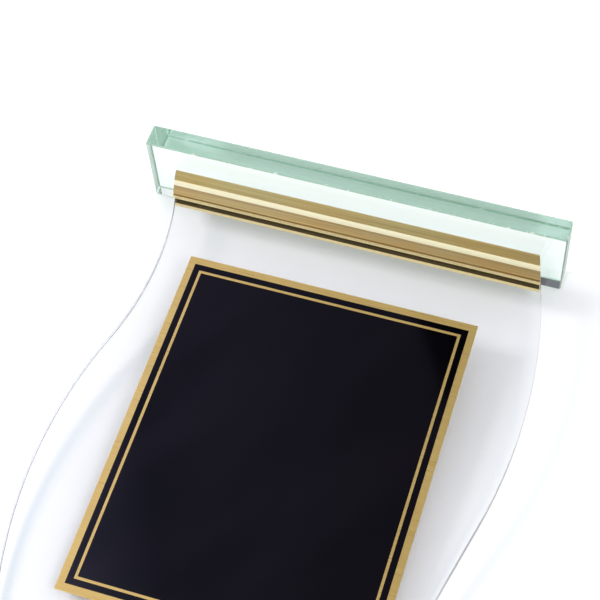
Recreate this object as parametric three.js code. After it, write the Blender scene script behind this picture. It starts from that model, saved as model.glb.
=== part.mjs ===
// Presentation award: a glass slab base, a gold aluminium holder bar bonded on top of it, and a clear
// acrylic panel with wavy sides that stands in the bar's slot. An enamelled brass plate is taped to
// the panel's front. Millimetres, +Z up, front towards -Y. The origin is the middle of the base's underside.

import * as THREE from "three";

// ---- driving dimensions ----

const BASE_WIDTH = 225.0;
const BASE_DEPTH = 46.0;
const BASE_THICKNESS = 12.8;
const BASE_ARRIS = 0.7;            // ground chamfer along every edge of the glass

const BOND_THICKNESS = 0.2;        // clear adhesive film between the glass and the bar
const BOND_INSET = 1.2;            // how far the film stops short of the bar's foot
const CONTACT_GAP = 0.05;          // clearance left between faces that touch

const BAR_LENGTH = 197.0;
const BAR_OFFSET = -1.2;           // the bar's middle from the base's middle, at its foot
const BAR_HEIGHT = 16.0;
const BAR_HALF_FOOT = 5.5;
const BAR_HALF_TOP = 5.65;
const BAR_BULGE = 1.55;            // how far the bowed sides stand out of a straight line from foot to top
const BAR_END_RAKE = -0.259;       // sideways travel per millimetre of height, so the ends follow the panel
const STRIPE_LOW = 7.1;            // polished stripe, a shallow recess in each side
const STRIPE_HIGH = 10.4;
const STRIPE_RECESS = 0.25;
const STRIPE_STEP = 0.1;           // height over which the side steps in to the stripe
const SHOULDER_LOW = 14.9;         // small groove under each top lip
const SHOULDER_HIGH = 15.7;
const SHOULDER_RECESS = 0.75;
const SIDE_STEPS = 5;              // straight steps along each bowed stretch of the section

const SLOT_WIDTH = 6.1;
const SLOT_FLOOR = 3.0;            // height of the slot's floor above the bar's underside
const SHIM_THICKNESS = 0.4;        // clear strips that pack the panel in the slot
const SHIM_TOP_DROP = 2.0;         // how far the strips stop below the lips
const SHIM_END_INSET = 6.0;        // and short of each end of the bar

const PANEL_THICKNESS = 5.0;
const PANEL_TOP = 268.8;           // height of the panel's top edge above the glass
const PANEL_CORNER = 2.0;
const OUTER_BOW = 239.6;           // radius of the right side's bulging stretch
const LEFT_OUTER_BOW = 275.0;      // radius of the left side's bulging stretch
const HOLLOW = 165.5;              // radius of both sides' hollow stretches
// Each side turns from hollow to bulging at one point: its distance out from the middle and its height
// above the glass, the outward lean there in radians, and the straight run each way along it. The radii
// of the stretches below and above are positive where the side bulges and negative where it is hollow.
const RIGHT_SIDE = { out: 96.2, up: 104.5, lean: 0.31, run: 0, below: -HOLLOW, above: OUTER_BOW };
const LEFT_SIDE = { out: 103.0, up: 167.9, lean: -0.23, run: 16.8, below: LEFT_OUTER_BOW, above: -HOLLOW };
const SIDE_POINTS = 60;            // points along each wavy side

const PLATE_WIDTH = 152.0;
const PLATE_HEIGHT = 189.1;
const PLATE_THICKNESS = 0.5;
const PLATE_OFFSET = -4.0;         // the plate's middle from the base's middle
const PLATE_BOTTOM = 48.0;         // height of the plate's lower edge above the glass
const TAPE_THICKNESS = 0.1;
const TAPE_INSET = 2.0;            // how far the tape stops short of the plate's edges

const BORDER_SIDES = 3.75;         // bare brass outside the enamel
const BORDER_ENDS = 3.94;
const BAND_WIDTH = 3.24;           // black enamel band
const LINE_WIDTH = 1.44;           // bare brass line inside the band
const ENAMEL_THICKNESS = 0.04;
const ENAMEL_GAP = 0.01;           // clearance between the enamel and the brass

const GLASS_TOP = BASE_THICKNESS;
const BAR_BOTTOM = GLASS_TOP + 2 * CONTACT_GAP + BOND_THICKNESS;
const PANEL_BOTTOM = BAR_BOTTOM + SLOT_FLOOR + CONTACT_GAP;
const TAPE_BACK = -PANEL_THICKNESS / 2 - CONTACT_GAP;
const PLATE_BACK = TAPE_BACK - TAPE_THICKNESS - CONTACT_GAP;
const ENAMEL_BACK = PLATE_BACK - PLATE_THICKNESS - ENAMEL_GAP;

// ---- materials ----

function finish(color, roughness, metalness, opacity = 1) {
  return new THREE.MeshStandardMaterial({
    color, roughness, metalness, opacity, transparent: opacity < 1,
  });
}

const jadeGlass = finish(0xb9dccb, 0.04, 0.0, 0.45);
const clearAcrylic = finish(0xf4f6f7, 0.05, 0.0, 0.3);
const goldAluminium = finish(0xb59a62, 0.34, 1.0);
const satinBrass = finish(0xd6aa5f, 0.3, 1.0);
const blackEnamel = finish(0x1b1820, 0.12, 0.0);
const clearAdhesive = finish(0xf0f1ee, 0.3, 0.0, 0.4);

const award = new THREE.Group();

function addPart(name, geometry, material) {
  const part = new THREE.Mesh(geometry, material);
  part.name = name;
  award.add(part);
}

// ---- shape helpers ----

// Extrudes a shape drawn in X and Z along Y, from yBack towards the front (-Y).
function extrudeForward(shape, depth, yBack) {
  const geometry = new THREE.ExtrudeGeometry(shape, { depth, bevelEnabled: false });
  geometry.rotateX(Math.PI / 2);
  geometry.translate(0, yBack, 0);
  return geometry;
}

function rectangle(xMin, zMin, xMax, zMax) {
  const shape = new THREE.Shape();
  shape.moveTo(xMin, zMin);
  shape.lineTo(xMax, zMin);
  shape.lineTo(xMax, zMax);
  shape.lineTo(xMin, zMax);
  shape.closePath();
  return shape;
}

// A rectangle on the plate, inset from the plate's outer edges.
function plateRectangle(insetSides, insetEnds) {
  const half = PLATE_WIDTH / 2 - insetSides;
  const low = GLASS_TOP + PLATE_BOTTOM;
  return rectangle(
    PLATE_OFFSET - half, low + insetEnds,
    PLATE_OFFSET + half, low + PLATE_HEIGHT - insetEnds,
  );
}

// ---- glass base ----

// A slab with a chamfer along every edge: the outline is drawn inside the chamfer and bevelled outwards.
function glassBase() {
  const halfWidth = BASE_WIDTH / 2;
  const halfDepth = BASE_DEPTH / 2;
  const outline = new THREE.Shape();
  const inner = [halfWidth - BASE_ARRIS, halfDepth - BASE_ARRIS];
  outline.moveTo(-inner[0], -inner[1]);
  outline.lineTo(inner[0], -inner[1]);
  outline.lineTo(inner[0], inner[1]);
  outline.lineTo(-inner[0], inner[1]);
  outline.closePath();
  const geometry = new THREE.ExtrudeGeometry(outline, {
    depth: BASE_THICKNESS - 2 * BASE_ARRIS,
    bevelThickness: BASE_ARRIS,
    bevelSize: BASE_ARRIS,
    bevelSegments: 1,
  });
  geometry.translate(0, 0, BASE_ARRIS);
  return geometry;
}

// ---- holder bar ----

// Half the bar's depth at a height above its underside.
function barHalfDepth(height) {
  const t = height / BAR_HEIGHT;
  const straight = BAR_HALF_FOOT + (BAR_HALF_TOP - BAR_HALF_FOOT) * t;
  return straight + 4 * BAR_BULGE * t * (1 - t);
}

function bowedStretch(low, high, recess) {
  const points = [];
  for (let i = 0; i <= SIDE_STEPS; i += 1) {
    const height = low + (high - low) * (i / SIDE_STEPS);
    points.push([barHalfDepth(height) - recess, height]);
  }
  return points;
}

// One side of the section, from the foot up to the lip and down into the slot.
function barSide() {
  const shoulderMiddle = (SHOULDER_LOW + SHOULDER_HIGH) / 2;
  return [
    ...bowedStretch(0, STRIPE_LOW, 0),
    ...bowedStretch(STRIPE_LOW + STRIPE_STEP, STRIPE_HIGH - STRIPE_STEP, STRIPE_RECESS),
    ...bowedStretch(STRIPE_HIGH, SHOULDER_LOW, 0),
    [BAR_HALF_TOP - SHOULDER_RECESS, shoulderMiddle],
    [BAR_HALF_TOP, SHOULDER_HIGH],
    [BAR_HALF_TOP, BAR_HEIGHT],
    [SLOT_WIDTH / 2, BAR_HEIGHT],
    [SLOT_WIDTH / 2, SLOT_FLOOR],
  ];
}

// The section is drawn in Y and Z, extruded along X, and sheared so that both ends lean the same way.
function holderBar() {
  const side = barSide();
  const mirrored = side.map(([y, z]) => [-y, z]).reverse();
  const section = new THREE.Shape([...side, ...mirrored].map(([y, z]) => new THREE.Vector2(y, z)));
  const geometry = new THREE.ExtrudeGeometry(section, { depth: BAR_LENGTH, bevelEnabled: false });
  const alongX = new THREE.Matrix4().makeBasis(
    new THREE.Vector3(0, 1, 0), new THREE.Vector3(0, 0, 1), new THREE.Vector3(1, 0, 0),
  );
  geometry.applyMatrix4(alongX);
  geometry.applyMatrix4(new THREE.Matrix4().makeShear(0, 0, 0, 0, BAR_END_RAKE, 0));
  geometry.translate(BAR_OFFSET - BAR_LENGTH / 2, 0, BAR_BOTTOM);
  return geometry;
}

function baseBond() {
  const halfLength = BAR_LENGTH / 2 - BOND_INSET;
  const halfDepth = BAR_HALF_FOOT - BOND_INSET;
  const geometry = new THREE.BoxGeometry(2 * halfLength, 2 * halfDepth, BOND_THICKNESS);
  geometry.translate(BAR_OFFSET, 0, GLASS_TOP + CONTACT_GAP + BOND_THICKNESS / 2);
  return geometry;
}

// A strip that packs the panel in the slot; side is -1 in front of the panel and 1 behind it.
function slotShim(side) {
  const height = BAR_HEIGHT - SLOT_FLOOR - SHIM_TOP_DROP;
  const middle = BAR_BOTTOM + SLOT_FLOOR + CONTACT_GAP + height / 2;
  const shift = BAR_OFFSET + BAR_END_RAKE * (middle - BAR_BOTTOM);
  const gap = (SLOT_WIDTH - PANEL_THICKNESS) / 2;
  const geometry = new THREE.BoxGeometry(BAR_LENGTH - 2 * SHIM_END_INSET, SHIM_THICKNESS, height);
  geometry.translate(shift, side * (PANEL_THICKNESS / 2 + gap / 2), middle);
  return geometry;
}

// ---- acrylic panel ----

// Distance out from the middle of a wavy side, at a height above the glass.
function sideDistance(side, height) {
  const along = [Math.sin(side.lean), Math.cos(side.lean)];
  const outward = [Math.cos(side.lean), -Math.sin(side.lean)];
  const rise = height - side.up;
  if (Math.abs(rise) < side.run * along[1]) {
    return side.out + rise * Math.tan(side.lean);
  }
  const way = Math.sign(rise);
  const radius = rise < 0 ? side.below : side.above;
  const centreOut = side.out + way * side.run * along[0] - radius * outward[0];
  const centreUp = side.up + way * side.run * along[1] - radius * outward[1];
  return centreOut + Math.sign(radius) * Math.sqrt(radius ** 2 - (height - centreUp) ** 2);
}

// Points up one side of the panel; sign is 1 on the right and -1 on the left.
function sidePoints(side, sign) {
  const low = PANEL_BOTTOM - GLASS_TOP;
  const high = PANEL_TOP - PANEL_CORNER;
  const points = [];
  for (let i = 0; i < SIDE_POINTS; i += 1) {
    const height = low + (high - low) * (i / (SIDE_POINTS - 1));
    points.push(new THREE.Vector2(sign * sideDistance(side, height), GLASS_TOP + height));
  }
  return points;
}

function acrylicPanel() {
  const right = sidePoints(RIGHT_SIDE, 1);
  const left = sidePoints(LEFT_SIDE, -1).reverse();
  const top = GLASS_TOP + PANEL_TOP;
  const rightCorner = right[right.length - 1];
  const leftCorner = left[0];
  const outline = new THREE.Shape(right);
  outline.quadraticCurveTo(rightCorner.x, top, rightCorner.x - PANEL_CORNER, top);
  outline.lineTo(leftCorner.x + PANEL_CORNER, top);
  outline.quadraticCurveTo(leftCorner.x, top, leftCorner.x, leftCorner.y);
  left.slice(1).forEach((p) => outline.lineTo(p.x, p.y));
  outline.closePath();
  return extrudeForward(outline, PANEL_THICKNESS, PANEL_THICKNESS / 2);
}

// ---- plate ----

function plateTape() {
  return extrudeForward(plateRectangle(TAPE_INSET, TAPE_INSET), TAPE_THICKNESS, TAPE_BACK);
}

function brassPlate() {
  return extrudeForward(plateRectangle(0, 0), PLATE_THICKNESS, PLATE_BACK);
}

function enamelBand() {
  const band = plateRectangle(BORDER_SIDES, BORDER_ENDS);
  band.holes.push(plateRectangle(BORDER_SIDES + BAND_WIDTH, BORDER_ENDS + BAND_WIDTH));
  return extrudeForward(band, ENAMEL_THICKNESS, ENAMEL_BACK);
}

function enamelField() {
  const inset = BAND_WIDTH + LINE_WIDTH;
  const field = plateRectangle(BORDER_SIDES + inset, BORDER_ENDS + inset);
  return extrudeForward(field, ENAMEL_THICKNESS, ENAMEL_BACK);
}

// ---- assembly ----

addPart("glass_base", glassBase(), jadeGlass);
addPart("base_bond", baseBond(), clearAdhesive);
addPart("holder_bar", holderBar(), goldAluminium);
addPart("slot_shim_front", slotShim(-1), clearAdhesive);
addPart("slot_shim_rear", slotShim(1), clearAdhesive);
addPart("acrylic_panel", acrylicPanel(), clearAcrylic);
addPart("plate_tape", plateTape(), clearAdhesive);
addPart("brass_plate", brassPlate(), satinBrass);
addPart("enamel_band", enamelBand(), blackEnamel);
addPart("enamel_field", enamelField(), blackEnamel);

export default award;
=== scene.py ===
from math import cos, radians, sin

import bmesh
import bpy
from mathutils import Matrix, Vector, noise


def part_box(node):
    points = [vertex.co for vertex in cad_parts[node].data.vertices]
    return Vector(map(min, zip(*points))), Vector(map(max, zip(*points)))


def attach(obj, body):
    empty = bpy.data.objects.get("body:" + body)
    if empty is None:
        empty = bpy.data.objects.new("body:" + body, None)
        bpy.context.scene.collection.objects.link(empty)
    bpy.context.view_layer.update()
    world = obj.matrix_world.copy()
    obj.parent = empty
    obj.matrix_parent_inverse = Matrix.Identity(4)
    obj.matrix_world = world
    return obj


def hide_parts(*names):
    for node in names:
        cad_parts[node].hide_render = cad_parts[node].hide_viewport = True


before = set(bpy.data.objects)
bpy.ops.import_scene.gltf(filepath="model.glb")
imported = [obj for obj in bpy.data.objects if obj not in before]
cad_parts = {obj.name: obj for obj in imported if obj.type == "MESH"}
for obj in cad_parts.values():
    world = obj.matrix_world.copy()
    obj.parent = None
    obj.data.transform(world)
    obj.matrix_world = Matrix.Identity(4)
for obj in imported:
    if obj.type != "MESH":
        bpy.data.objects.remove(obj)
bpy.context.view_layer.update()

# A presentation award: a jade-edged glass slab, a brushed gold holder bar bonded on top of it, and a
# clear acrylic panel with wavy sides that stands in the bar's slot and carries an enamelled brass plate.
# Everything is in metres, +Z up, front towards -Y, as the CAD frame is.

MM = 0.001

# ---- camera ----

AIM = Vector((10.7, 0.0, 68.9)) * MM      # the point in the middle of the picture
CAMERA_DISTANCE = 847.2 * MM
CAMERA_AZIMUTH = -13.02
CAMERA_ELEVATION = 28.80
CAMERA_ROLL = -159.76                     # the award is seen nearly base up
LENS = 100.25
SENSOR = 36.0
FARTHEST_SEEN = 20.0

# ---- studio ----

SOFT_LIGHT = 1.42                         # white light from the sides and below
SOFT_ABOVE = 0.60                         # and from overhead
SOFT_TURNS = (0.35, 0.75)                 # how high a ray looks where it starts and ends turning dim
SEEN_LIGHT = 1.30                         # strength of the studio as seen through glass
STREAK_LEAN = (0.61, 0.79)                # the mirrored streaks' direction, across and up
STREAK_LENGTHWISE = 7.0                   # changes of tone along a streak, and across it
STREAK_CROSSWISE = 28.0
PATCH_SLANT = 1.24                        # the mirrored dark patch: the slope of its edge,
PATCH_TONE = 0.05                         # how much light is left in it,
PATCH_EDGE = (-0.339, -0.327)             # where its edge starts and ends,
PATCH_FOOT = (-0.64, -0.58)               # and the heights where it has stopped and is whole
CORNER_SLANT = 2.0                        # the mirrored bright corner, in the same way
CORNER_EDGE = (0.15, 0.30)
CORNER_TOP = (-0.28, -0.20)
CORNER_GAIN = 2.8
FRONT_EDGE = (-0.35, -0.15)               # through glass: where the front gives way to white,
SLATE_FOOT = (-0.70, -0.62)               # the slate patch's foot, top, side and depth,
SLATE_TOP = (-0.46, -0.40)
SLATE_SIDE = (0.12, 0.26)
SLATE_FRONT = (-0.6, -0.5)
SLATE_SPILL = 0.12                        # how much of it is left past its side,
FALL_OFF = (-0.72, -0.60)                 # the brown fall-off, and the grey sides
GREY_SIDES = (0.72, 0.88)
KEY_TOWARDS = (1.05, -1.0, 0.10)          # where each lamp is, as seen from the award
KEY_ENERGY = 8.0
FILL_TOWARDS = (-0.50, -1.0, 0.42)
FILL_ENERGY = 4.2
LAMP_DISTANCE = 1.2
LAMP_SIZE = 0.42
FLOOR_TONE = (0.90, 0.90, 0.90)
FLOOR_GLOW = 0.35                         # keeps the floor white where the award shades it
BACKDROP_TONE = (0.600, 0.605, 0.630)     # a cool light grey
REST_LEAN = 0.07626                       # how far the backdrop leans forwards, per metre of height
BACKDROP_HALF_WIDTH = 1.2
BACKDROP_LOW = -0.6
BACKDROP_HIGH = 1.3
BACKDROP_GAP = 0.1 * MM
FLOOR_HALF = 4.0
FLOOR_GAP = 0.2 * MM                      # air under the glass

# ---- pieces ----

ARRIS = 0.7 * MM                          # ground chamfer along the glass slab's edges
END_FACING = 0.99                         # how nearly along X an end face looks
FLAT_FACING = 0.9                         # and along Y, a face of the panel
BAR_HALF_FOOT = 5.5 * MM
BAR_HALF_TOP = 5.65 * MM
BAR_BULGE = 1.55 * MM
BAR_END_RAKE = -0.259                     # sideways travel of the bar's ends, per metre of height
STRIPE_LOW = 7.1 * MM                     # pale polished stripe, recessed in each side
STRIPE_HIGH = 10.4 * MM
STRIPE_RECESS = 0.25 * MM
STRIPE_STEP = 0.06 * MM                   # height over which each wall of the recess slopes
LOWER_ROWS = 10                           # flats that make the bow below, in and above the stripe
STRIPE_ROWS = 5
UPPER_ROWS = 7
SHOULDER_LOW = 14.9 * MM                  # groove under each top lip
SHOULDER_HIGH = 15.7 * MM
SHOULDER_RECESS = 0.75 * MM
SLOT_HALF = 3.05 * MM
SLOT_FLOOR = 3.0 * MM
LINE_WIDTH = 1.44 * MM                    # bare brass line between the two areas of enamel
FILM_STEP = 2.0 * MM                      # between points round an adhesive film's edge
FILM_SWING = 160.0                        # wanders of that edge, per metre
BOND_WANDER = 1.6 * MM                    # how far in that edge strays, on each film
SHIM_WANDER = 1.2 * MM
TAPE_WANDER = 1.0 * MM
BAR_EDGE = 0.1 * MM                       # widths of the softened edges
PANEL_EDGE = 0.35 * MM
PLATE_EDGE = 0.12 * MM
ENAMEL_EDGE = 0.015 * MM
FILM_EDGE = 0.02 * MM
SAME_POINT = 0.001 * MM                   # points closer than this are merged
SAME_FLAT = 0.3                           # degrees between faces that count as one
BACK_DEPTH = 0.01 * MM                    # how near its back a face of the plate counts as the back


# ---- node helpers ----

def link(tree, source, target):
    tree.links.new(source, target)


def blank_material(name):
    material = bpy.data.materials.new(name)
    material.use_nodes = True
    tree = material.node_tree
    tree.nodes.clear()
    output = tree.nodes.new("ShaderNodeOutputMaterial")
    return material, tree, output


def principled(tree, base, **inputs):
    """A Principled shader; the inputs are named as on the node, with _ for each space."""
    shader = tree.nodes.new("ShaderNodeBsdfPrincipled")
    shader.inputs["Base Color"].default_value = (*base, 1.0)
    for name, value in inputs.items():
        shader.inputs[name.replace("_", " ")].default_value = value
    return shader


def pattern(
    tree, per_metre, detail=3.0, roughness=0.55, kind="ShaderNodeTexNoise", offset=(0.0, 0.0, 0.0),
):
    """A noise over the piece's own coordinates, with per_metre features each way."""
    place = tree.nodes.new("ShaderNodeTexCoord")
    mapping = tree.nodes.new("ShaderNodeMapping")
    mapping.inputs["Scale"].default_value = per_metre
    mapping.inputs["Location"].default_value = offset
    link(tree, place.outputs["Object"], mapping.inputs["Vector"])
    texture = tree.nodes.new(kind)
    texture.inputs["Scale"].default_value = 1.0
    link(tree, mapping.outputs["Vector"], texture.inputs["Vector"])
    if kind != "ShaderNodeTexNoise":
        return texture.outputs["Distance"]
    texture.inputs["Detail"].default_value = detail
    texture.inputs["Roughness"].default_value = roughness
    return texture.outputs["Fac"]


def ranged(tree, source, low, high, from_low=0.3, from_high=0.7):
    """source, taken from one range to another and held inside it."""
    made = tree.nodes.new("ShaderNodeMapRange")
    made.inputs["From Min"].default_value = from_low
    made.inputs["From Max"].default_value = from_high
    made.inputs["To Min"].default_value = low
    made.inputs["To Max"].default_value = high
    link(tree, source, made.inputs["Value"])
    return made.outputs["Result"]


def calculate(tree, operation, first, second):
    made = tree.nodes.new("ShaderNodeMath")
    made.operation = operation
    for socket, value in zip(made.inputs, (first, second)):
        if isinstance(value, (int, float)):
            socket.default_value = value
        else:
            link(tree, value, socket)
    return made.outputs["Value"]


def colour_ramp(tree, source, stops):
    ramp = tree.nodes.new("ShaderNodeValToRGB")
    elements = ramp.color_ramp.elements
    while len(elements) < len(stops):
        elements.new(0.5)
    for element, (place, colour) in zip(elements, stops):
        element.position = place
        element.color = (*colour, 1.0)
    link(tree, source, ramp.inputs["Fac"])
    return ramp.outputs["Color"]


def blend_colours(tree, share, first, second, mode="MIX"):
    made = tree.nodes.new("ShaderNodeMix")
    made.data_type = "RGBA"
    made.blend_type = mode
    for socket, value in ((made.inputs[0], share), (made.inputs[6], first), (made.inputs[7], second)):
        if isinstance(value, float):
            socket.default_value = value
        elif isinstance(value, tuple):
            socket.default_value = (*value, 1.0)
        else:
            link(tree, value, socket)
    return made.outputs[2]


def bump(tree, height, distance, strength=1.0, under=None):
    made = tree.nodes.new("ShaderNodeBump")
    made.inputs["Strength"].default_value = strength
    made.inputs["Distance"].default_value = distance
    link(tree, height, made.inputs["Height"])
    if under is not None:
        link(tree, under, made.inputs["Normal"])
    return made.outputs["Normal"]


def lets_light_through(tree, shader, output, tint):
    """Glass for whatever looks at it, and a clear tint for lamps and soft light on their way past."""
    path = tree.nodes.new("ShaderNodeLightPath")
    clear = tree.nodes.new("ShaderNodeBsdfTransparent")
    clear.inputs["Color"].default_value = (*tint, 1.0)
    seen = shader.outputs["BSDF"]
    for kind in ("Is Diffuse Ray", "Is Shadow Ray"):
        mix = tree.nodes.new("ShaderNodeMixShader")
        link(tree, path.outputs[kind], mix.inputs["Fac"])
        link(tree, seen, mix.inputs[1])
        link(tree, clear.outputs["BSDF"], mix.inputs[2])
        seen = mix.outputs["Shader"]
    link(tree, seen, output.inputs["Surface"])


def coloured_through(tree, output, kept, density):
    """Fills the piece with a tint that deepens with the length of glass looked through."""
    absorption = tree.nodes.new("ShaderNodeVolumeAbsorption")
    absorption.inputs["Color"].default_value = (*kept, 1.0)
    absorption.inputs["Density"].default_value = density
    link(tree, absorption.outputs["Volume"], output.inputs["Volume"])


# ---- materials ----

SEAM_TONE = (0.50, 0.68, 0.58)            # of the chips in the slab's chamfers
JADE_DENSITY = 5.6                        # how fast the glass's own colour deepens
JADE_KEPT = (0.0, 0.80, 0.48)             # what it lets through of red, green and blue
ACRYLIC_DENSITY = 2.0
ACRYLIC_KEPT = (0.2, 0.55, 0.6)
ACRYLIC_TINT = (0.955, 0.955, 0.96)       # of the light that goes straight through the panel


def jade_glass(name, ground):
    """Thick float glass, green through its length; ground is its chamfers' dull finish."""
    material, tree, output = blank_material(name)
    shader = principled(tree, (1.0, 1.0, 1.0), Transmission_Weight=1.0, IOR=1.52, Roughness=0.0)
    if ground:
        shader.inputs["Transmission Weight"].default_value = 0.6
        grind = pattern(tree, (900.0, 900.0, 900.0), detail=4.0)
        chips = pattern(tree, (260.0, 260.0, 260.0), detail=3.0, offset=(9.0, 0.0, 0.0))
        tone = colour_ramp(tree, chips, [(0.60, SEAM_TONE), (0.66, (0.98, 1.0, 0.99))])
        link(tree, tone, shader.inputs["Base Color"])
        link(tree, ranged(tree, grind, 0.05, 0.3), shader.inputs["Roughness"])
        link(tree, bump(tree, grind, 0.004 * MM), shader.inputs["Normal"])
    else:
        swell = pattern(tree, (14.0, 14.0, 14.0), detail=1.0)
        link(tree, bump(tree, swell, 0.015 * MM), shader.inputs["Normal"])
    lets_light_through(tree, shader, output, (0.97, 0.985, 0.977))
    coloured_through(tree, output, JADE_KEPT, JADE_DENSITY)
    return material


def ground_glass(name):
    """The slab's ends as sawn and ground: a fine grey-green tooth that only half shows through."""
    material, tree, output = blank_material(name)
    shader = principled(tree, (0.36, 0.50, 0.43), Transmission_Weight=0.35, IOR=1.52, Roughness=0.35)
    tooth = pattern(tree, (700.0, 700.0, 700.0), detail=4.0)
    patches = pattern(tree, (90.0, 90.0, 90.0), detail=2.0, offset=(2.0, 5.0, 1.0))
    base = colour_ramp(tree, tooth, [(0.3, (0.27, 0.40, 0.335)), (0.7, (0.43, 0.58, 0.50))])
    link(tree, base, shader.inputs["Base Color"])
    link(tree, ranged(tree, patches, 0.22, 0.5), shader.inputs["Roughness"])
    link(tree, bump(tree, tooth, 0.01 * MM), shader.inputs["Normal"])
    lets_light_through(tree, shader, output, (0.90, 0.93, 0.91))
    return material


def clear_acrylic(name):
    """Cast acrylic sheet, water clear, with the faintest waviness and a few hairline rubs."""
    material, tree, output = blank_material(name)
    shader = principled(tree, (0.985, 0.988, 0.992), Transmission_Weight=1.0, IOR=1.49, Roughness=0.0)
    rubs = pattern(tree, (30.0, 30.0, 900.0), detail=5.0, roughness=0.7)
    link(tree, ranged(tree, rubs, 0.0, 0.06, 0.62, 0.8), shader.inputs["Roughness"])
    lets_light_through(tree, shader, output, ACRYLIC_TINT)
    coloured_through(tree, output, ACRYLIC_KEPT, ACRYLIC_DENSITY)
    return material


def polished_edge_painted_light(name):
    """The panel's cut edges: sawn, then flame polished, clear in places and hazy in others; the hazy
    diffuse share is partly real and partly painted light, a pale colour standing in for light carried along
    the sheet to its edges.
    """
    material, tree, output = blank_material(name)
    # painted light: this pale diffuse colour lightens the edges in place of light carried along the sheet
    shader = principled(tree, (0.72, 0.76, 0.79), Transmission_Weight=0.6, IOR=1.49, Roughness=0.08)
    haze_and_painted_light = pattern(tree, (9.0, 9.0, 11.0), detail=2.0, offset=(0.4, 0.0, 0.2))
    sawn = pattern(tree, (500.0, 120.0, 500.0), detail=2.0)
    link(tree, ranged(tree, haze_and_painted_light, 0.50, 0.95, 0.38, 0.62), shader.inputs["Transmission Weight"])
    link(tree, ranged(tree, sawn, 0.02, 0.16), shader.inputs["Roughness"])
    link(tree, bump(tree, sawn, 0.004 * MM), shader.inputs["Normal"])
    lets_light_through(tree, shader, output, ACRYLIC_TINT)
    coloured_through(tree, output, ACRYLIC_KEPT, ACRYLIC_DENSITY)
    return material


def brushed_gold(name):
    """Gold-anodised aluminium, brushed along the bar: long fine lines over broader streaks."""
    material, tree, output = blank_material(name)
    shader = principled(tree, (0.6, 0.46, 0.22), Metallic=0.85, Roughness=0.36)
    lines = pattern(tree, (16.0, 6500.0, 6500.0), detail=2.0)
    streaks = pattern(tree, (11.0, 1900.0, 1900.0), detail=4.0, offset=(3.0, 0.0, 0.0))
    clouds = pattern(tree, (22.0, 60.0, 60.0), detail=2.0, offset=(7.0, 0.0, 0.0))
    base = colour_ramp(tree, streaks, [
        (0.30, (0.48, 0.36, 0.155)), (0.50, (0.56, 0.43, 0.195)), (0.70, (0.68, 0.54, 0.26)),
    ])
    warm = colour_ramp(tree, clouds, [(0.35, (1.0, 0.93, 0.82)), (0.65, (0.97, 1.0, 1.02))])
    link(tree, blend_colours(tree, 1.0, base, warm, "MULTIPLY"), shader.inputs["Base Color"])
    link(tree, ranged(tree, lines, 0.28, 0.48), shader.inputs["Roughness"])
    coarse = bump(tree, streaks, 0.012 * MM)
    link(tree, bump(tree, lines, 0.006 * MM, under=coarse), shader.inputs["Normal"])
    link(tree, shader.outputs["BSDF"], output.inputs["Surface"])
    return material


def pale_gold(name):
    """The recessed stripe: pale, finely polished, with faint drawing lines along it."""
    material, tree, output = blank_material(name)
    shader = principled(tree, (0.86, 0.80, 0.56), Metallic=0.45, Roughness=0.3)
    lines = pattern(tree, (8.0, 2600.0, 2600.0), detail=2.0)
    base = colour_ramp(tree, lines, [(0.3, (0.70, 0.64, 0.43)), (0.7, (0.78, 0.73, 0.51))])
    link(tree, base, shader.inputs["Base Color"])
    link(tree, bump(tree, lines, 0.004 * MM), shader.inputs["Normal"])
    link(tree, shader.outputs["BSDF"], output.inputs["Surface"])
    return material


def sawn_gold(name):
    """Lips and ends: the same gold with fine cutter marks across the bar."""
    material, tree, output = blank_material(name)
    shader = principled(tree, (0.72, 0.57, 0.29), Metallic=0.8, Roughness=0.3)
    marks = pattern(tree, (1500.0, 260.0, 260.0), detail=2.0)
    base = colour_ramp(tree, marks, [(0.3, (0.68, 0.55, 0.26)), (0.7, (0.80, 0.66, 0.335))])
    link(tree, base, shader.inputs["Base Color"])
    link(tree, ranged(tree, marks, 0.28, 0.4), shader.inputs["Roughness"])
    link(tree, bump(tree, marks, 0.0006 * MM), shader.inputs["Normal"])
    link(tree, shader.outputs["BSDF"], output.inputs["Surface"])
    return material


def slot_gold_painted_shade(name):
    """Inside the slot, never brushed and so duller; its very dark colour is painted shade for the deep
    recess.
    """
    # painted shade: the dark gold tones here stand for the shade deep inside the slot
    material, tree, output = blank_material(name)
    shader = principled(tree, (0.16, 0.12, 0.06), Metallic=0.8, Roughness=0.5)
    drawn = pattern(tree, (12.0, 1500.0, 1500.0), detail=3.0)
    base = colour_ramp(tree, drawn, [(0.3, (0.12, 0.085, 0.036)), (0.7, (0.23, 0.17, 0.075))])
    link(tree, base, shader.inputs["Base Color"])
    link(tree, bump(tree, drawn, 0.01 * MM), shader.inputs["Normal"])
    link(tree, shader.outputs["BSDF"], output.inputs["Surface"])
    return material


def satin_brass(name):
    """Satin brass sheet with a short brushed grain and a little tarnish."""
    material, tree, output = blank_material(name)
    shader = principled(tree, (0.86, 0.60, 0.24), Metallic=0.85, Roughness=0.3)
    grain = pattern(tree, (60.0, 2400.0, 2400.0), detail=3.0)
    tarnish = pattern(tree, (45.0, 45.0, 45.0), detail=3.0, offset=(5.0, 2.0, 0.0))
    base = colour_ramp(tree, grain, [(0.3, (0.90, 0.66, 0.215)), (0.7, (0.97, 0.73, 0.25))])
    worn = colour_ramp(tree, tarnish, [(0.38, (0.95, 0.93, 0.90)), (0.6, (1.0, 1.0, 1.0))])
    link(tree, blend_colours(tree, 1.0, base, worn, "MULTIPLY"), shader.inputs["Base Color"])
    link(tree, ranged(tree, grain, 0.27, 0.36), shader.inputs["Roughness"])
    link(tree, bump(tree, grain, 0.0004 * MM), shader.inputs["Normal"])
    link(tree, shader.outputs["BSDF"], output.inputs["Surface"])
    return material


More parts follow.
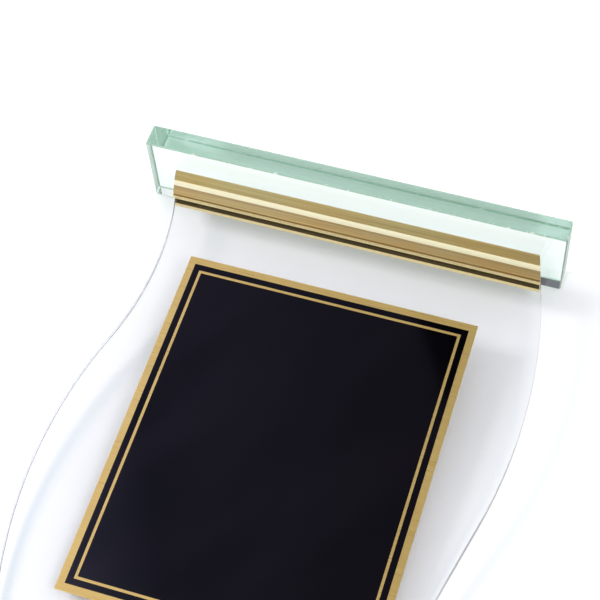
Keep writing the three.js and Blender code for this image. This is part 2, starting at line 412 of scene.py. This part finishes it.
def bare_brass(name):
    """The plate's back as it came off the roll: matt, with long rolling marks and darker blooms."""
    material, tree, output = blank_material(name)
    shader = principled(tree, (0.62, 0.45, 0.2), Metallic=0.3, Roughness=0.5)
    rolled = pattern(tree, (900.0, 900.0, 14.0), detail=3.0)
    blooms = pattern(tree, (26.0, 26.0, 26.0), detail=4.0, offset=(1.0, 4.0, 2.0))
    base = colour_ramp(tree, rolled, [(0.3, (0.56, 0.405, 0.175)), (0.7, (0.68, 0.50, 0.23))])
    bloom = colour_ramp(tree, blooms, [(0.4, (0.82, 0.78, 0.74)), (0.6, (1.0, 1.0, 1.0))])
    link(tree, blend_colours(tree, 1.0, base, bloom, "MULTIPLY"), shader.inputs["Base Color"])
    link(tree, ranged(tree, blooms, 0.6, 0.42), shader.inputs["Roughness"])
    link(tree, bump(tree, rolled, 0.004 * MM), shader.inputs["Normal"])
    link(tree, shader.outputs["BSDF"], output.inputs["Surface"])
    return material


def black_enamel(name):
    """Fired black enamel: deep gloss, a faint orange peel and a few hairline marks."""
    material, tree, output = blank_material(name)
    shader = principled(tree, (0.0008, 0.0008, 0.0012), Roughness=0.05, IOR=1.5)
    peel = pattern(tree, (420.0, 420.0, 420.0), detail=1.0)
    hairs = pattern(tree, (40.0, 40.0, 1800.0), detail=4.0, roughness=0.7)
    link(tree, ranged(tree, hairs, 0.04, 0.12, 0.6, 0.8), shader.inputs["Roughness"])
    link(tree, bump(tree, peel, 0.0015 * MM), shader.inputs["Normal"])
    link(tree, shader.outputs["BSDF"], output.inputs["Surface"])
    return material


def clear_adhesive(name):
    """Clear film and glue: patches that wetted out, and fine bubbles where they didn't."""
    material, tree, output = blank_material(name)
    shader = principled(tree, (0.97, 0.97, 0.95), Transmission_Weight=1.0, IOR=1.06, Roughness=0.05)
    patches = pattern(tree, (160.0, 160.0, 160.0), detail=4.0)
    bubbles = pattern(tree, (700.0, 700.0, 700.0), kind="ShaderNodeTexVoronoi")
    link(tree, ranged(tree, patches, 0.02, 0.2, 0.45, 0.65), shader.inputs["Roughness"])
    link(tree, bump(tree, bubbles, 0.01 * MM), shader.inputs["Normal"])
    lets_light_through(tree, shader, output, (0.96, 0.96, 0.95))
    return material


# ---- camera, lights and stage ----

def place_camera():
    azimuth, elevation = radians(CAMERA_AZIMUTH), radians(CAMERA_ELEVATION)
    back = Vector((sin(azimuth) * cos(elevation), -cos(azimuth) * cos(elevation), sin(elevation)))
    upright = back.to_track_quat("Z", "Y").to_matrix()
    turned = upright @ Matrix.Rotation(radians(CAMERA_ROLL), 3, "Z")
    data = bpy.data.cameras.new("camera")
    data.lens = LENS
    data.sensor_width = SENSOR
    data.clip_end = FARTHEST_SEEN
    camera = bpy.data.objects.new("camera", data)
    camera.matrix_world = Matrix.Translation(AIM + back * CAMERA_DISTANCE) @ turned.to_4x4()
    bpy.context.scene.collection.objects.link(camera)
    bpy.context.scene.camera = camera


def add_soft_box(name, towards, energy):
    """A round soft box that lights the award and the backdrop, and is itself neither seen nor mirrored."""
    data = bpy.data.lights.new(name, "AREA")
    data.shape = "DISK"
    data.size = LAMP_SIZE
    data.energy = energy
    lamp = bpy.data.objects.new(name, data)
    direction = Vector(towards).normalized()
    lamp.location = AIM + direction * LAMP_DISTANCE
    lamp.rotation_euler = direction.to_track_quat("Z", "Y").to_euler()
    lamp.visible_camera = False
    lamp.visible_glossy = False
    lamp.visible_transmission = False
    bpy.context.scene.collection.objects.link(lamp)


def paper(name, tone, glow=0.0, one_sided=False):
    """Plain matt paper, which may glow a little; a one-sided sheet can't be seen from its back."""
    material, tree, output = blank_material(name)
    shader = principled(tree, tone, Roughness=0.9, Specular_IOR_Level=0.0, Emission_Strength=glow)
    shader.inputs["Emission Color"].default_value = (1.0, 1.0, 1.0, 1.0)
    surface = shader.outputs["BSDF"]
    if one_sided:
        side = tree.nodes.new("ShaderNodeNewGeometry")
        clear = tree.nodes.new("ShaderNodeBsdfTransparent")
        mix = tree.nodes.new("ShaderNodeMixShader")
        link(tree, side.outputs["Backfacing"], mix.inputs["Fac"])
        link(tree, surface, mix.inputs[1])
        link(tree, clear.outputs["BSDF"], mix.inputs[2])
        surface = mix.outputs["Shader"]
    link(tree, surface, output.inputs["Surface"])
    return material


def staged_sheet(name, corners, material):
    mesh = bpy.data.meshes.new(name)
    mesh.from_pydata(corners, [], [(0, 1, 2, 3)])
    mesh.materials.append(material)
    sheet = bpy.data.objects.new(name, mesh)
    sheet.visible_glossy = False
    sheet.visible_diffuse = False
    bpy.context.scene.collection.objects.link(sheet)
    return sheet


def make_stage():
    """A white floor, and a sheet that leans on the back of the award as a table would lie under it."""
    half, z = FLOOR_HALF, -FLOOR_GAP
    corners = [(-half, -half, z), (half, -half, z), (half, half, z), (-half, half, z)]
    floor = staged_sheet("floor", corners, paper("floor_paper", FLOOR_TONE, FLOOR_GLOW))
    floor.visible_shadow = False
    floor.visible_transmission = False
    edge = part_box("glass_base")[1]
    wide, low, high = BACKDROP_HALF_WIDTH, BACKDROP_LOW, BACKDROP_HIGH

    def behind(height):
        return edge.y + BACKDROP_GAP - (height - edge.z) * REST_LEAN

    corners = [
        (-wide, behind(low), low), (wide, behind(low), low),
        (wide, behind(high), high), (-wide, behind(high), high),
    ]
    staged_sheet("backdrop", corners, paper("backdrop_paper", BACKDROP_TONE, one_sided=True))


def weighted_sum(tree, *terms):
    """Adds up (socket, factor) pairs."""
    total = 0.0
    for socket, factor in terms:
        total = calculate(tree, "ADD", calculate(tree, "MULTIPLY", socket, factor), total)
    return total


def mirrored_studio(tree, across, away, height):
    """What glossy surfaces mirror: bright walls, and in front a dim violet zone with soft streaks,
    a dark patch and a bright corner."""
    by_height = colour_ramp(tree, ranged(tree, height, 0.0, 1.0, -1.0, 1.0), [
        (0.10, (0.38, 0.38, 0.38)),
        (0.20, (0.30, 0.30, 0.30)),
        (0.25, (0.20, 0.20, 0.36)),
        (0.345, (0.20, 0.20, 0.36)),
        (0.46, (0.70, 0.70, 0.70)),
        (0.60, (0.95, 0.95, 0.95)),
    ])
    by_side = colour_ramp(tree, ranged(tree, across, 0.0, 1.0, -0.2, 0.5), [
        (0.0, (0.12, 0.08, 0.05)),
        (0.4, (0.52, 0.46, 0.40)),
        (0.6, (0.88, 0.84, 0.80)),
        (1.0, (1.60, 1.60, 1.60)),
    ])
    front = blend_colours(tree, 1.0, by_height, by_side, "MULTIPLY")
    lean_across, lean_up = STREAK_LEAN
    along = weighted_sum(tree, (across, lean_across), (height, lean_up))
    aside = weighted_sum(tree, (across, lean_up), (height, -lean_across))
    place = tree.nodes.new("ShaderNodeCombineXYZ")
    link(tree, calculate(tree, "MULTIPLY", along, STREAK_LENGTHWISE), place.inputs["X"])
    link(tree, calculate(tree, "MULTIPLY", aside, STREAK_CROSSWISE), place.inputs["Y"])
    streaks = tree.nodes.new("ShaderNodeTexNoise")
    streaks.inputs["Scale"].default_value = 1.0
    streaks.inputs["Detail"].default_value = 2.0
    link(tree, place.outputs["Vector"], streaks.inputs["Vector"])
    tinge = colour_ramp(tree, streaks.outputs["Fac"], [
        (0.35, (0.82, 0.84, 0.84)),
        (0.65, (1.28, 1.14, 1.12)),
    ])
    front = blend_colours(tree, 1.0, front, tinge, "MULTIPLY")
    slant = weighted_sum(tree, (across, PATCH_SLANT), (height, 1.0))
    lit_side = ranged(tree, slant, PATCH_TONE, 1.0, *PATCH_EDGE)
    far_down = ranged(tree, height, 1.0, 0.0, *PATCH_FOOT)
    outside_patch = calculate(tree, "MAXIMUM", lit_side, far_down)
    front = blend_colours(tree, 1.0, front, outside_patch, "MULTIPLY")
    slant = weighted_sum(tree, (across, CORNER_SLANT), (height, 1.0))
    corner = ranged(tree, slant, 0.0, 1.0, *CORNER_EDGE)
    corner = calculate(tree, "MULTIPLY", corner, ranged(tree, height, 1.0, 0.0, *CORNER_TOP))
    front = blend_colours(tree, 1.0, front, ranged(tree, corner, 1.0, CORNER_GAIN, 0.0, 1.0), "MULTIPLY")
    return blend_colours(tree, ranged(tree, away, 0.0, 1.0, -0.15, 0.15), front, (1.1, 1.1, 1.1))


def seen_through_glass(tree, across, away, height):
    """White behind and above, and grey far to each side; in front a shade less than white, with a
    slate patch and a brown fall-off below."""
    front = ranged(tree, away, 1.0, 0.0, *FRONT_EDGE)
    over_foot = ranged(tree, height, 0.0, 1.0, *SLATE_FOOT)
    under_top = ranged(tree, height, 1.0, 0.0, *SLATE_TOP)
    patch = calculate(tree, "MULTIPLY", over_foot, under_top)
    patch = calculate(tree, "MULTIPLY", patch, ranged(tree, across, 1.0, SLATE_SPILL, *SLATE_SIDE))
    patch = calculate(tree, "MULTIPLY", patch, ranged(tree, away, 1.0, 0.0, *SLATE_FRONT))
    below = ranged(tree, height, 1.0, 0.0, *FALL_OFF)
    fall_off = colour_ramp(tree, ranged(tree, across, 0.0, 1.0, -0.2, 0.5), [
        (0.0, (0.03, 0.01, 0.0)),
        (0.4, (0.10, 0.06, 0.03)),
        (1.0, (0.95, 0.95, 0.95)),
    ])
    level = blend_colours(tree, below, (0.78, 0.78, 0.80), fall_off)
    level = blend_colours(tree, patch, level, (0.03, 0.03, 0.05))
    sides = ranged(tree, calculate(tree, "ABSOLUTE", across, 0.0), 0.0, 1.0, *GREY_SIDES)
    around = blend_colours(tree, sides, (1.0, 1.0, 1.0), (0.50, 0.52, 0.54))
    return blend_colours(tree, front, around, level)


def make_world():
    """White light, dimmer overhead; mirrored rays and rays out of glass each see a studio of their own."""
    world = bpy.data.worlds.new("studio")
    bpy.context.scene.world = world
    world.use_nodes = True
    tree = world.node_tree
    tree.nodes.clear()
    output = tree.nodes.new("ShaderNodeOutputWorld")
    place = tree.nodes.new("ShaderNodeTexCoord")
    split = tree.nodes.new("ShaderNodeSeparateXYZ")
    link(tree, place.outputs["Generated"], split.inputs["Vector"])
    direction = [split.outputs[axis] for axis in "XYZ"]
    path = tree.nodes.new("ShaderNodeLightPath")
    glossy, through = path.outputs["Is Glossy Ray"], path.outputs["Is Transmission Ray"]
    lights = []
    for strength, colour in (
        (1.0, ranged(tree, direction[2], SOFT_LIGHT, SOFT_ABOVE, *SOFT_TURNS)),
        (SEEN_LIGHT, seen_through_glass(tree, *direction)),
        (1.0, mirrored_studio(tree, *direction)),
    ):
        light = tree.nodes.new("ShaderNodeBackground")
        light.inputs["Strength"].default_value = strength
        link(tree, colour, light.inputs["Color"])
        lights.append(light.outputs["Background"])
    seen = lights[0]
    mirrored = calculate(tree, "GREATER_THAN", glossy, through)
    for share, light in ((through, lights[1]), (mirrored, lights[2])):
        mix = tree.nodes.new("ShaderNodeMixShader")
        link(tree, share, mix.inputs["Fac"])
        link(tree, seen, mix.inputs[1])
        link(tree, light, mix.inputs[2])
        seen = mix.outputs["Shader"]
    link(tree, seen, output.inputs["Surface"])


# ---- mesh helpers ----

def finished_piece(name, bm, materials, nodes, smooth_angle=30.0):
    """Turns a bmesh into a piece that rides on the award in place of the CAD nodes named."""
    bmesh.ops.recalc_face_normals(bm, faces=bm.faces)
    mesh = bpy.data.meshes.new(name)
    bm.to_mesh(mesh)
    bm.free()
    mesh.shade_smooth()
    mesh.set_sharp_from_angle(angle=radians(smooth_angle))
    for material in materials:
        mesh.materials.append(material)
    piece = bpy.data.objects.new(name, mesh)
    bpy.context.scene.collection.objects.link(piece)
    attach(piece, "root")
    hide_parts(*nodes)
    return piece


def soften(piece, width, segments=2, angle=30.0):
    """Rounds the piece's edges by a small radius."""
    modifier = piece.modifiers.new("soft_edges", "BEVEL")
    modifier.width = width
    modifier.segments = segments
    modifier.limit_method = "ANGLE"
    modifier.angle_limit = radians(angle)
    modifier.harden_normals = True
    return piece


def block(low, high):
    """A bmesh box from its lowest to its highest corner."""
    bm = bmesh.new()
    bmesh.ops.create_cube(bm, size=1.0)
    size, middle = high - low, (high + low) / 2
    for vertex in bm.verts:
        vertex.co = Vector(a * b for a, b in zip(vertex.co, size)) + middle
    return bm


def film(low, high, thin, wander):
    """A thin sheet, flat across the axis thin; its edges wander in from the box's sides by up to wander."""
    wide, tall = (axis for axis in range(3) if axis != thin)
    corners = [
        (low[wide], low[tall]), (high[wide], low[tall]),
        (high[wide], high[tall]), (low[wide], high[tall]),
    ]
    outline = []
    for index, corner in enumerate(corners):
        start, end = Vector(corner), Vector(corners[(index + 1) % 4])
        run = end - start
        inwards = Vector((-run.y, run.x)).normalized()
        steps = max(2, round(run.length / FILM_STEP))
        for step in range(steps):
            share = step / steps
            spot = start + run * share
            swing = abs(noise.noise((spot.x * FILM_SWING, spot.y * FILM_SWING, index)))
            outline.append(spot + inwards * wander * min(1.0, 8 * share * (1 - share)) * swing)
    bm = bmesh.new()
    sheets = []
    for level in (low[thin], high[thin]):
        sheet = []
        for spot in outline:
            place = [0.0, 0.0, 0.0]
            place[wide], place[tall], place[thin] = spot.x, spot.y, level
            sheet.append(bm.verts.new(place))
        bm.faces.new(sheet)
        sheets.append(sheet)
    for index in range(len(outline)):
        after = (index + 1) % len(outline)
        bm.faces.new((sheets[0][index], sheets[0][after], sheets[1][after], sheets[1][index]))
    return bm


# ---- the award's pieces ----

def make_glass_base():
    bm = block(*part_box("glass_base"))
    arrises = bmesh.ops.bevel(bm, geom=bm.edges[:], offset=ARRIS, segments=1, affect="EDGES")
    for face in arrises["faces"]:
        face.material_index = 1
    for face in bm.faces:
        if abs(face.normal.x) > END_FACING:
            face.material_index = 2
    materials = [
        jade_glass("jade_glass", False), jade_glass("seamed_jade", True), ground_glass("ground_jade"),
    ]
    return finished_piece("jade_glass_base", bm, materials, ["glass_base"])


BRUSHED, STRIPE, SAWN, SLOT = range(4)


def bar_side(height):
    """One side of the bar's section, foot to slot floor: half depth, height, and the finish above it."""
    rows = []

    def stretch(low, high, recess, finish, steps):
        for step in range(steps + 1):
            at = low + (high - low) * step / steps
            share = at / height
            straight = BAR_HALF_FOOT + (BAR_HALF_TOP - BAR_HALF_FOOT) * share
            rows.append((straight + 4 * BAR_BULGE * share * (1 - share) - recess, at, finish))

    stretch(0.0, STRIPE_LOW, 0.0, BRUSHED, LOWER_ROWS)
    stretch(STRIPE_LOW + STRIPE_STEP, STRIPE_HIGH - STRIPE_STEP, STRIPE_RECESS, STRIPE, STRIPE_ROWS)
    stretch(STRIPE_HIGH, SHOULDER_LOW, 0.0, BRUSHED, UPPER_ROWS)
    return rows + [
        (BAR_HALF_TOP - SHOULDER_RECESS, (SHOULDER_LOW + SHOULDER_HIGH) / 2, BRUSHED),
        (BAR_HALF_TOP, SHOULDER_HIGH, SAWN),
        (BAR_HALF_TOP, height, SAWN),
        (SLOT_HALF, height, SLOT),
        (SLOT_HALF, SLOT_FLOOR, SLOT),
    ]


def make_holder_bar():
    low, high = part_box("holder_bar")
    height = high.z - low.z
    shift = BAR_END_RAKE * height
    side = bar_side(height)
    mirrored_finishes = [finish for _, _, finish in reversed(side[:-1])] + [BRUSHED]
    front = [(-y, z, finish) for (y, z, _), finish in zip(reversed(side), mirrored_finishes)]
    section = side + front
    bm = bmesh.new()
    ends = []
    for x in (low.x - shift, high.x):     # where the foot ends; the box's left side is at the bar's top
        ends.append([bm.verts.new((x + BAR_END_RAKE * z, y, low.z + z)) for y, z, _ in section])
    for cap in ends:
        bm.faces.new(cap).material_index = SAWN
    count = len(section)
    for index in range(count):
        after = (index + 1) % count
        wall = bm.faces.new((ends[0][index], ends[0][after], ends[1][after], ends[1][index]))
        wall.material_index = section[index][2]
    materials = [
        brushed_gold("brushed_gold"), pale_gold("pale_gold"),
        sawn_gold("sawn_gold"), slot_gold_painted_shade("slot_gold_painted_shade"),
    ]
    piece = finished_piece("gold_holder_bar", bm, materials, ["holder_bar"], 20.0)
    return soften(piece, BAR_EDGE, angle=25.0)


def make_acrylic_panel():
    bm = bmesh.new()
    bm.from_mesh(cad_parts["acrylic_panel"].data)
    bmesh.ops.remove_doubles(bm, verts=bm.verts, dist=SAME_POINT)
    bmesh.ops.dissolve_limit(bm, angle_limit=radians(SAME_FLAT), verts=bm.verts, edges=bm.edges)
    for face in bm.faces:
        face.material_index = 0 if abs(face.normal.y) > FLAT_FACING else 1
    materials = [clear_acrylic("clear_acrylic"), polished_edge_painted_light("polished_edge_painted_light")]
    piece = finished_piece("wavy_acrylic_panel", bm, materials, ["acrylic_panel"])
    return soften(piece, PANEL_EDGE, segments=3, angle=40.0)


def framed_block(name, node, outer, inner, materials):
    """A flat frame between two boxes; inner is the hole, which goes right through along Y."""
    bm = bmesh.new()
    rings = []
    for y in (outer[0].y, outer[1].y):
        for low, high in (outer, inner):
            corners = ((low.x, low.z), (high.x, low.z), (high.x, high.z), (low.x, high.z))
            rings.append([bm.verts.new((x, y, z)) for x, z in corners])
    for first, second in ((0, 1), (2, 3), (0, 2), (1, 3)):
        for index in range(4):
            after = (index + 1) % 4
            a, b = rings[first], rings[second]
            bm.faces.new((a[index], a[after], b[after], b[index]))
    return finished_piece(name, bm, materials, [node])


def make_plate():
    brass, enamel = satin_brass("satin_brass"), black_enamel("black_enamel")
    low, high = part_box("brass_plate")
    sheet = block(low, high)
    for face in sheet.faces:
        if face.calc_center_median().y > high.y - BACK_DEPTH:
            face.material_index = 1
    both = [brass, bare_brass("bare_brass")]
    plate = finished_piece("satin_brass_plate", sheet, both, ["brass_plate"])
    soften(plate, PLATE_EDGE)
    low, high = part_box("enamel_field")
    field = block(low, high)
    field = finished_piece("gloss_enamel_field", field, [enamel], ["enamel_field"])
    soften(field, ENAMEL_EDGE)
    line = Vector((LINE_WIDTH, 0.0, LINE_WIDTH))
    hole = (low - line, high + line)
    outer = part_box("enamel_band")
    band = framed_block("gloss_enamel_band", "enamel_band", outer, hole, [enamel])
    soften(band, ENAMEL_EDGE)


def make_adhesives():
    glue = clear_adhesive("clear_adhesive")
    for node, thin, wander in (
        ("base_bond", 2, BOND_WANDER),
        ("slot_shim_front", 1, SHIM_WANDER),
        ("slot_shim_rear", 1, SHIM_WANDER),
        ("plate_tape", 1, TAPE_WANDER),
    ):
        sheet = film(*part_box(node), thin, wander)
        piece = finished_piece("clear_" + node, sheet, [glue], [node])
        soften(piece, FILM_EDGE, angle=60.0)


bpy.context.scene.view_settings.view_transform = "Standard"
place_camera()
make_world()
add_soft_box("key", KEY_TOWARDS, KEY_ENERGY)
add_soft_box("fill", FILL_TOWARDS, FILL_ENERGY)
make_stage()
make_glass_base()
make_holder_bar()
make_acrylic_panel()
make_plate()
make_adhesives()
